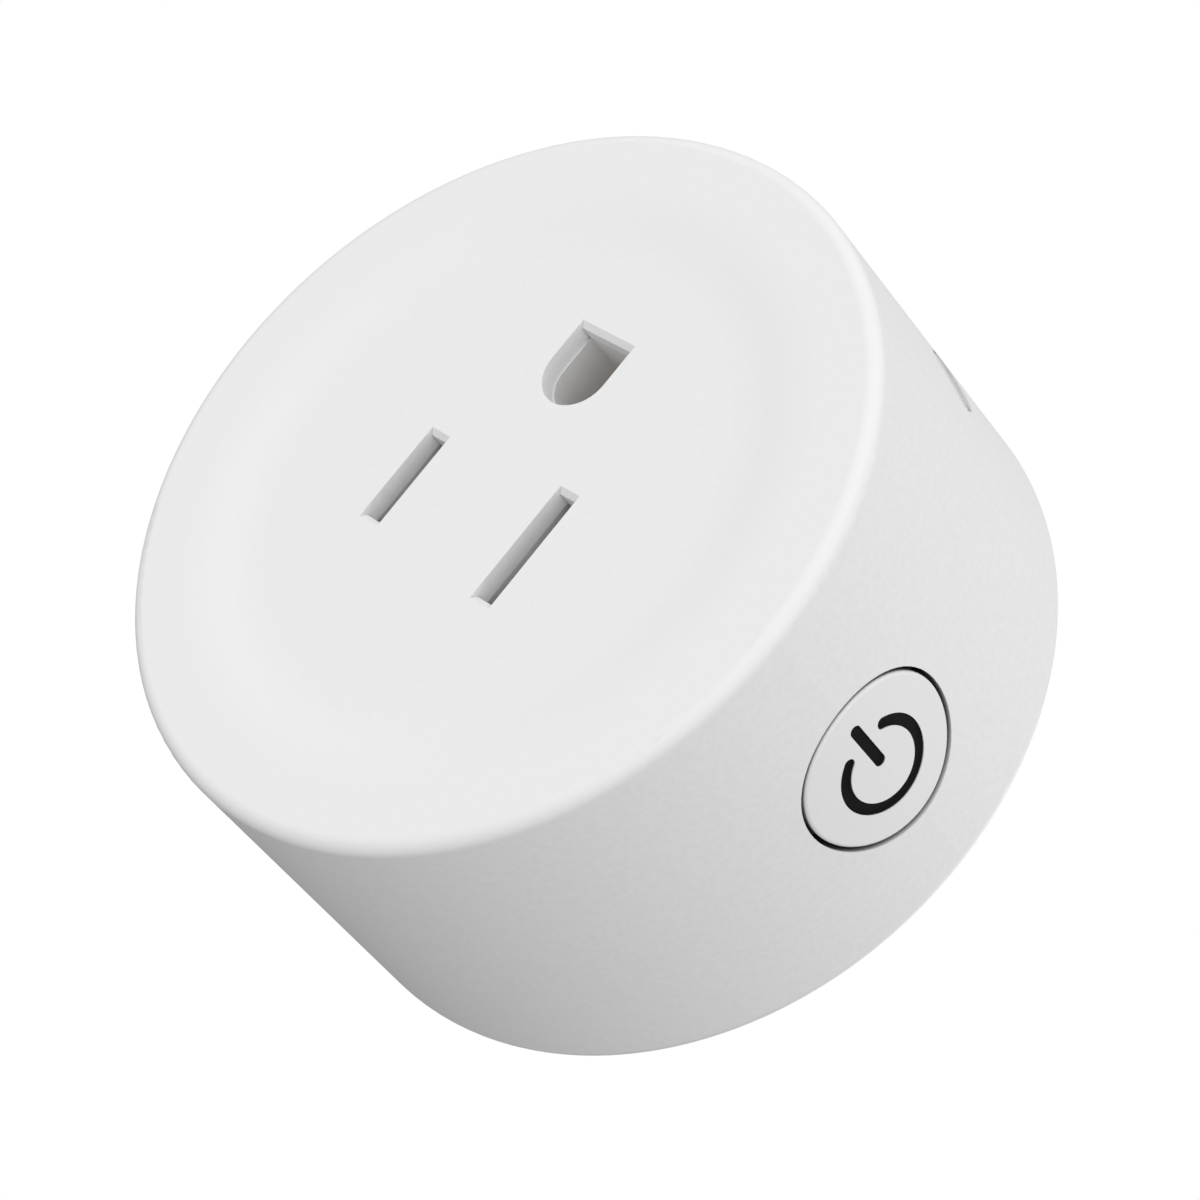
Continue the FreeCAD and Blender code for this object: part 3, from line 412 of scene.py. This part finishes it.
MATERIALS = {
    "cover_plastic": cover_plastic(),
    "button_plastic": button_plastic(),
    "symbol_ink": finish("symbol_ink", (0.004, 0.004, 0.0045), 0.6, vary=0.3, blotch=0.5 * MM, shine=0.1),
    "lens_plastic": lens_plastic(),
    "led_resin": led_resin(),
    "screw_steel": brushed_metal("screw_steel", (0.62, 0.62, 0.6), 0.28),
    "blade_metal": brushed_metal("blade_metal", (0.8, 0.77, 0.7), 0.22),
    "pin_metal": brushed_metal("pin_metal", (0.82, 0.78, 0.7), 0.2),
    "carrier_plastic": carrier_plastic(),
    "contact_metal": brushed_metal("contact_metal", (0.78, 0.52, 0.33), 0.25),
    "strap_metal": brushed_metal("strap_metal", (0.82, 0.5, 0.34), 0.3),
    "board_laminate": board_laminate("board_laminate", (0.03, 0.17, 0.08), (0.06, 0.27, 0.13), 3.4 * MM),
    "radio_laminate": board_laminate("radio_laminate", (0.015, 0.035, 0.11), (0.03, 0.07, 0.2), 2.2 * MM),
    "shield_metal": brushed_metal("shield_metal", (0.74, 0.74, 0.73), 0.24),
    "antenna_metal": finish("antenna_metal", (0.83, 0.62, 0.28), 0.3, metal=1.0),
    "pin_header_metal": brushed_metal("pin_header_metal", (0.83, 0.67, 0.36), 0.2),
    "switch_plastic": finish("switch_plastic", (0.03, 0.03, 0.032), 0.5, vary=0.2),
    "plunger_plastic": finish("plunger_plastic", (0.06, 0.06, 0.065), 0.4, vary=0.2),
    "relay_plastic": finish("relay_plastic", (0.025, 0.025, 0.03), 0.45, vary=0.2, depth=0.01 * MM),
    "varistor_coating": finish("varistor_coating", (0.03, 0.12, 0.42), 0.3, vary=0.15, depth=0.02 * MM),
    "fuse_coating": finish("fuse_coating", (0.16, 0.36, 0.22), 0.38, vary=0.12, depth=0.015 * MM),
    "inductor_ferrite": finish("inductor_ferrite", (0.07, 0.07, 0.075), 0.7, vary=0.3, grain=0.12 * MM),
    "chip_epoxy": finish("chip_epoxy", (0.025, 0.025, 0.026), 0.6, vary=0.25, grain=0.1 * MM),
    "copper_wire": brushed_metal("copper_wire", (0.75, 0.33, 0.17), 0.25),
    "tin": finish("tin", (0.72, 0.72, 0.7), 0.32, metal=1.0, vary=0.1, blotch=1 * MM),
    "can_metal": finish("can_metal", (0.8, 0.8, 0.8), 0.35, metal=1.0, vary=0.05),
    "rubber": finish("rubber", (0.04, 0.04, 0.04), 0.75, vary=0.2),
    "ceramic": finish("ceramic", (0.55, 0.42, 0.3), 0.55, vary=0.08),
}


def paint_nodes():
    """Give every CAD node the material of its record slot."""
    for part in frame["record"]["subparts"]:
        node = frame["nodes"][part["node"]]
        slot_name = part["material_slot"]
        if slot_name in MATERIALS:
            node.data.materials.clear()
            node.data.materials.append(MATERIALS[slot_name])


# ---------------------------------------------------------------- mesh helpers

def piece(name, shape, materials, body="housing", stands_for=()):
    """Turn a bmesh into a piece of the object, shaded smooth up to sharp edges."""
    bmesh.ops.recalc_face_normals(shape, faces=shape.faces)
    mesh = bpy.data.meshes.new(name)
    shape.to_mesh(mesh)
    shape.free()
    mesh.shade_smooth()
    mesh.set_sharp_from_angle(angle=SHARP)
    for material in materials:
        mesh.materials.append(MATERIALS[material])
    item = bpy.data.objects.new(name, mesh)
    bpy.context.scene.collection.objects.link(item)
    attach(item, body)
    if stands_for:
        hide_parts(*stands_for)
    return item


def frame_of(direction):
    """A rotation that takes +Z to the direction."""
    return direction.to_track_quat("Z", "Y").to_matrix()


def add_lathe(shape, profile, base, direction, segments=64, material=0):
    """Turn a profile of (radius, height) points about the direction, starting at base."""
    turn = frame_of(direction)
    rings = []
    for radius, height in profile:
        if radius == 0:
            rings.append([shape.verts.new(base + turn @ Vector((0, 0, height)))])
            continue
        angles = [2 * math.pi * step / segments for step in range(segments)]
        spots = [Vector((radius * math.cos(a), radius * math.sin(a), height)) for a in angles]
        rings.append([shape.verts.new(base + turn @ spot) for spot in spots])
    for lower, upper in zip(rings, rings[1:]):
        for step in range(segments):
            after = (step + 1) % segments
            corners = [lower[step % len(lower)], lower[after % len(lower)],
                       upper[after % len(upper)], upper[step % len(upper)]]
            unique = list(dict.fromkeys(corners))
            if len(unique) > 2:
                shape.faces.new(unique).material_index = material


def arc(centre, radius, start, end, steps=8):
    """Points (radius, height) of an arc between two angles in degrees."""
    angles = [math.radians(start + (end - start) * step / steps) for step in range(steps + 1)]
    return [(centre[0] + radius * math.cos(a), centre[1] + radius * math.sin(a)) for a in angles]


def add_block(shape, low, high, rounding, material=0, steps=3):
    """A block between two corners with rounded edges."""
    low, high = Vector(low), Vector(high)
    made = bmesh.ops.create_cube(shape, size=1)["verts"]
    for vertex in made:
        vertex.co = Vector([low[k] + (high[k] - low[k]) * (vertex.co[k] + 0.5) for k in range(3)])
    edges = list({edge for vertex in made for edge in vertex.link_edges})
    rounded = bmesh.ops.bevel(shape, geom=edges, offset=rounding, segments=steps, profile=0.5, affect="EDGES")
    for face in {face for vertex in rounded["verts"] for face in vertex.link_faces}:
        face.material_index = material


def add_wire(shape, points, radius, segments=12, material=0):
    """A round wire through the points, with flat ends."""
    points = [Vector(point) for point in points]
    rings = []
    for place, point in enumerate(points):
        before = points[max(place - 1, 0)]
        after = points[min(place + 1, len(points) - 1)]
        turn = frame_of((after - before).normalized())
        rings.append([shape.verts.new(point + turn @ Vector((radius * math.cos(a), radius * math.sin(a), 0)))
                      for a in (2 * math.pi * step / segments for step in range(segments))])
    for lower, upper in zip(rings, rings[1:]):
        for step in range(segments):
            after = (step + 1) % segments
            face = shape.faces.new((lower[step], lower[after], upper[after], upper[step]))
            face.material_index = material
    for ring in (rings[0], rings[-1]):
        shape.faces.new(ring).material_index = material


def bent(start, corner, end, radius, steps=5):
    """Points from start to end that turn a rounded corner."""
    start, corner, end = Vector(start), Vector(corner), Vector(end)
    into = (corner - start).normalized()
    out = (end - corner).normalized()
    first = corner - into * radius
    last = corner + out * radius
    shares = [step / steps for step in range(steps + 1)]
    curve = [first.lerp(corner, t).lerp(corner.lerp(last, t), t) for t in shares]
    return [start] + curve + [end]


def centre_of(node):
    low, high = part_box(node)
    return (Vector(low) + Vector(high)) / 2


# ---------------------------------------------------------------- outside pieces

def status_lens():
    """A milky light pipe whose crowned end has a softly rounded edge."""
    base = LENS_DIRECTION * LENS_INNER_END + Vector((0, centre_of("status_lens").y, 0))
    flange_in = LENS_FLANGE_INNER - LENS_INNER_END
    flange_out = LENS_FLANGE_OUTER - LENS_INNER_END
    crown = HOUSING_AT_LENS + 0.04 * MM - LENS_INNER_END
    edge = 0.2 * MM
    neck = LENS_RADIUS - 0.15 * MM
    shoulder = crown - 0.14 * MM - edge
    profile = [(0, 0), (LENS_RADIUS - 0.2 * MM, 0), (LENS_RADIUS, 0.2 * MM), (LENS_RADIUS, flange_in),
               (LENS_FLANGE, flange_in), (LENS_FLANGE, flange_out), (neck, flange_out)]
    profile += arc((neck - edge, shoulder), edge, 0, 80)
    profile += [(LENS_RADIUS * share, crown - 0.12 * MM * share * share) for share in (0.75, 0.5, 0.25, 0)]
    shape = bmesh.new()
    add_lathe(shape, profile, base, LENS_DIRECTION, 96)
    piece("light_pipe", shape, ["lens_plastic"], stands_for=["status_lens"])


def led_leads():
    """Two leads from the indicator down to the radio board."""
    shape = bmesh.new()
    height = centre_of("status_led").y
    for side in (-1, 1):
        start = LENS_DIRECTION * (LENS_INNER_END - 5.6 * MM) + Vector((0, height + side * 0.7 * MM, 0))
        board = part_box("radio_board")
        end = Vector((board[1][0] - 0.4 * MM, height + side * 1.6 * MM, board[1][2] - 0.8 * MM))
        corner = Vector((start.x + 1.5 * MM, start.y, end.z + 1.5 * MM))
        add_wire(shape, bent(start, corner, end, 1.0 * MM), 0.22 * MM)
    piece("led_leads", shape, ["tin"])


# ---------------------------------------------------------------- components on the boards

def capacitor(node):
    """A can in a shrink sleeve: crimped foot, curled sleeve edge and a scored metal top."""
    low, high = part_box(node)
    centre = centre_of(node)
    radius = (high[0] - low[0]) / 2
    height = high[1] - low[1]
    base = Vector((centre.x, high[1], centre.z))
    foot = 0.12 * radius
    rim = 0.14 * radius
    groove = 0.25 * radius
    sleeve = [(0, 0), (radius - rim, 0)]
    sleeve += arc((radius - rim, rim), rim, -90, 0)
    sleeve += [(radius, groove * 1.4), (radius - foot, groove * 2), (radius, groove * 2.6)]
    sleeve += [(radius, height - rim * 1.6)]
    sleeve += arc((radius - rim, height - rim * 1.6), rim, 0, 100)
    lid = height - rim * 0.85
    top = [(radius - rim * 1.2, height - rim), (radius - rim * 1.8, lid), (0, lid)]
    shape = bmesh.new()
    add_lathe(shape, sleeve, base, FORWARDS, 72, 0)
    add_lathe(shape, top, base, FORWARDS, 72, 1)
    for turn in (45, 135):
        angle = math.radians(turn)
        along = Vector((math.cos(angle), 0, math.sin(angle))) * (radius * 0.55)
        level = Vector((centre.x, high[1] - height + rim * 0.85, centre.z))
        add_wire(shape, [level - along, level + along], 0.09 * MM, 8, 1)
    for side in (-1, 1):
        across = centre.x + side * CAPACITOR_LEAD_OUT
        start = Vector((across, high[1] - 0.3 * MM, centre.z))
        add_wire(shape, [start, Vector((across, LEAD_END, centre.z))], LEAD_RADIUS, 12, 2)
    sleeve_name = node + "_sleeve"
    sleeve_color = (0.02, 0.04, 0.14) if node == "output_capacitor" else (0.02, 0.02, 0.025)
    MATERIALS[sleeve_name] = sleeve_plastic(sleeve_name, sleeve_color, (0.6, 0.6, 0.58), centre, radius)
    piece(node + "_can", shape, [sleeve_name, "can_metal", "tin"], stands_for=[node])


def inductor():
    """A drum core wound with enamelled wire."""
    low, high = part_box("filter_inductor")
    centre = centre_of("filter_inductor")
    radius = (high[0] - low[0]) / 2
    height = high[1] - low[1]
    flange = 1.0 * MM
    edge = 0.25 * MM
    core = 1.9 * MM
    base = Vector((centre.x, high[1], centre.z))
    profile = [(0, 0)] + arc((radius - edge, edge), edge, -90, 0, 4)
    profile += arc((radius - edge, flange - edge), edge, 0, 90, 4)
    profile += [(core, flange), (core, height - flange)]
    profile += arc((radius - edge, height - flange + edge), edge, -90, 0, 4)
    profile += arc((radius - edge, height - edge), edge, 0, 90, 4) + [(0, height)]
    shape = bmesh.new()
    add_lathe(shape, profile, base, FORWARDS, 64, 0)
    wire = 0.24 * MM
    turns = int((height - 2 * flange) / (2 * wire))
    steps = 40
    reach = 2.9 * MM - wire
    points = []
    for step in range(turns * steps + 1):
        angle = 2 * math.pi * step / steps
        rise = flange + wire + (height - 2 * flange - 2 * wire) * step / (turns * steps)
        points.append(base + Vector((reach * math.cos(angle), -rise, reach * math.sin(angle))))
    add_wire(shape, points, wire, 8, 1)
    for side in (-1, 1):
        start = base + Vector((side * INDUCTOR_LEAD_OUT, -0.2 * MM, 0))
        add_wire(shape, [start, Vector((start.x, LEAD_END, start.z))], LEAD_RADIUS, 12, 2)
    piece("wound_inductor", shape, ["inductor_ferrite", "copper_wire", "tin"],
          stands_for=["filter_inductor"])


def relay():
    """A sealed relay: base and case with a parting step, a vent pip and five pins."""
    low, high = (Vector(corner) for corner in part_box("relay"))
    shape = bmesh.new()
    step = 0.25 * MM
    foot = high.y - 1.6 * MM
    add_block(shape, (low.x + step, foot + 0.02 * MM, low.z + step),
              (high.x - step, high.y, high.z - step), 0.3 * MM)
    add_block(shape, (low.x, low.y, low.z), (high.x, foot, high.z), 0.7 * MM, steps=5)
    centre = (low + high) / 2
    pip = Vector((high.x - 2.2 * MM, low.y + 0.05 * MM, low.z + 2.2 * MM))
    add_lathe(shape, [(0, -0.3 * MM), (0.8 * MM, -0.3 * MM), (0.8 * MM, 0),
                      (0.6 * MM, 0.04 * MM), (0, 0.04 * MM)], pip, FORWARDS, 32)
    pins = [(0, low.z + 2 * MM)]
    pins += [(side * 2.6 * MM, high.z - rise) for side in (-1, 1) for rise in (2 * MM, 14 * MM)]
    for across, up in pins:
        place = Vector((centre.x + across, high.y - 0.3 * MM, up))
        tip = Vector((place.x + 0.5 * MM, LEAD_END, place.z + 0.2 * MM))
        add_block(shape, place - Vector((0.5, 0, 0.2)) * MM, tip, 0.08 * MM, 1)
    piece("power_relay", shape, ["relay_plastic", "tin"], stands_for=["relay"])


def varistor():
    """A dipped disc that thins towards its edge, with two leads that its coating runs down."""
    low, high = (Vector(corner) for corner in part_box("surge_varistor"))
    centre = (low + high) / 2
    radius = (high.x - low.x) / 2
    half = (high.z - low.z) / 2
    shape = bmesh.new()
    angles = [math.radians(-90 + 180 * step / 20) for step in range(21)]
    profile = [(radius * math.cos(a), half * math.sin(a)) for a in angles]
    profile[0] = (0, -half)
    profile[-1] = (0, half)
    add_lathe(shape, profile, centre, UPWARDS, 64, 0)
    for way in (-1, 1):
        top = Vector((centre.x + way * 1.9 * MM, centre.y + radius * 0.55, centre.z + way * 0.5 * MM))
        run = Vector((top.x, high.y + 0.1 * MM, top.z))
        add_wire(shape, [top, run], 0.5 * MM, 16, 0)
        add_wire(shape, [top, Vector((top.x, LEAD_END, top.z))], LEAD_RADIUS, 12, 1)
    piece("dipped_varistor", shape, ["varistor_coating", "tin"],
          stands_for=["surge_varistor"])


def fuse():
    """A lacquered fuse resistor with swollen ends, bent leads and colour bands."""
    low, high = (Vector(corner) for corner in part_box("fuse_resistor"))
    centre = (low + high) / 2
    radius = (high.x - low.x) / 2
    length = high.z - low.z
    waist = radius * 0.86
    swell = length * 0.22
    profile = [(0, 0)] + arc((radius - 0.5 * MM, 0.5 * MM), 0.5 * MM, -90, 0, 6)
    profile += [(radius, swell * 0.8), (waist, swell)]
    profile += [(waist, length - swell), (radius, length - swell * 0.8)]
    profile += arc((radius - 0.5 * MM, length - 0.5 * MM), 0.5 * MM, 0, 90, 6) + [(0, length)]
    shape = bmesh.new()
    base = Vector((centre.x, centre.y, low.z))
    add_lathe(shape, profile, base, UPWARDS, 48, 0)
    for place, material in ((0.36, 1), (0.46, 2), (0.56, 3)):
        start = length * place
        end = start + 0.5 * MM
        outside = waist + 0.03 * MM
        band = [(waist, start), (outside, start), (outside, end), (waist, end)]
        add_lathe(shape, band, base, UPWARDS, 48, material)
    for end, way in ((low.z, -1), (high.z, 1)):
        tip = Vector((centre.x, LEAD_END, end + way * FUSE_LEAD_OUT))
        corner = Vector((centre.x, centre.y, end + way * FUSE_LEAD_OUT))
        start = Vector((centre.x, centre.y, end - way * 0.3 * MM))
        add_wire(shape, bent(start, corner, tip, 0.6 * MM), LEAD_RADIUS, 12, 4)
    piece("lacquered_fuse", shape, ["fuse_coating", "rubber", "ceramic", "can_metal", "tin"],
          stands_for=["fuse_resistor"])


def chip(node, name, legs, along):
    """A moulded chip with gull-wing legs on two sides and a dot at its first leg."""
    low, high = (Vector(corner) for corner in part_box(node))
    lift = 0.25 * MM
    shape = bmesh.new()
    add_block(shape, (low.x, low.y, low.z), (high.x, high.y - lift, high.z), 0.14 * MM)
    dot = Vector((low.x + 0.7 * MM, low.y, high.z - 0.7 * MM))
    mark = [(0, 0.012 * MM), (0.28 * MM, 0.012 * MM), (0.32 * MM, -0.05 * MM)]
    add_lathe(shape, mark, dot, FORWARDS, 24, 0)
    across = 0 if along == 2 else 2
    span = high[along] - low[along]
    for step in range(legs):
        place = low[along] + span * (step + 0.5) / legs
        for edge, way in ((low[across], -1), (high[across], 1)):
            points = []
            for out, level in ((-0.2, 0.9), (0.35, 0.9), (0.45, 0.8), (0.5, 0.2), (0.6, 0.06), (1.0, 0.06)):
                point = Vector((0, high.y - level * MM, 0))
                point[along] = place
                point[across] = edge + way * out * MM
                points.append(point)
            add_wire(shape, points, 0.14 * MM, 8, 1)
    piece(name, shape, ["chip_epoxy", "tin"], stands_for=[node])


def radio_shield():
    """A stamped can with rounded corners and a raised panel."""
    low, high = (Vector(corner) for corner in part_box("radio_shield"))
    shape = bmesh.new()
    add_block(shape, low, high, 0.4 * MM, steps=5)
    inset = 0.9 * MM
    rise = 0.12 * MM
    add_block(shape, (low.x - rise, low.y + inset, low.z + inset),
              (low.x + rise, high.y - inset, high.z - inset), 0.1 * MM, steps=3)
    piece("radio_can", shape, ["shield_metal"], stands_for=["radio_shield"])


def small_parts():
    """Surface-mounted resistors and capacitors with tinned ends, on the main board's front."""
    shape = bmesh.new()
    length, width, height = 1.6 * MM, 0.8 * MM, 0.5 * MM
    places = [(6, 12.5), (6, 10.8), (-8, 17), (-8, 19), (14.5, 15),
              (16.5, -6), (16.5, -8.5), (9, 20), (11.5, 19)]
    for order, (across, up) in enumerate(places):
        low = Vector((across * MM, BOARD_FRONT - height, up * MM))
        high = low + Vector((length, height + 0.02 * MM, width))
        end = 0.35 * MM
        inside = 0.01 * MM
        add_block(shape, low + Vector((end, inside, inside)), high - Vector((end, 0, inside)),
                  0.03 * MM, order % 2)
        add_block(shape, low, (low.x + end, high.y, high.z), 0.06 * MM, 2)
        add_block(shape, (high.x - end, low.y, low.z), high, 0.06 * MM, 2)
    piece("small_parts", shape, ["chip_epoxy", "ceramic", "tin"])


def solder_joints():
    """Cones of solder round the capacitor, inductor and fuse leads on the main board's rear."""
    shape = bmesh.new()
    profile = [(0, 0), (0.95 * MM, 0), (0.6 * MM, 0.22 * MM), (0.38 * MM, 0.6 * MM),
               (0.3 * MM, 0.95 * MM), (0, 1.05 * MM)]
    places = []
    for node in ("bulk_capacitor_left", "bulk_capacitor_right", "output_capacitor"):
        centre = centre_of(node)
        places += [(centre.x + side * CAPACITOR_LEAD_OUT, centre.z) for side in (-1, 1)]
    inductor_place = centre_of("filter_inductor")
    places += [(inductor_place.x + side * INDUCTOR_LEAD_OUT, inductor_place.z) for side in (-1, 1)]
    fuse_low, fuse_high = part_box("fuse_resistor")
    fuse_centre = centre_of("fuse_resistor")
    places += [(fuse_centre.x, fuse_low[2] - FUSE_LEAD_OUT), (fuse_centre.x, fuse_high[2] + FUSE_LEAD_OUT)]
    for across, up in places:
        add_lathe(shape, profile, Vector((across, BOARD_BACK, up)), -FORWARDS, 24)
    piece("solder_joints", shape, ["tin"])


paint_nodes()
status_lens()
led_leads()
for can in ("bulk_capacitor_left", "bulk_capacitor_right", "output_capacitor"):
    capacitor(can)
inductor()
relay()
varistor()
fuse()
chip("bridge_rectifier", "bridge_chip", 2, 2)
chip("converter_chip", "switcher_chip", 4, 2)
radio_shield()
small_parts()
solder_joints()
world_light()
rear_light()
backdrop()
floor()
camera()
bpy.context.scene.view_settings.view_transform = "Standard"
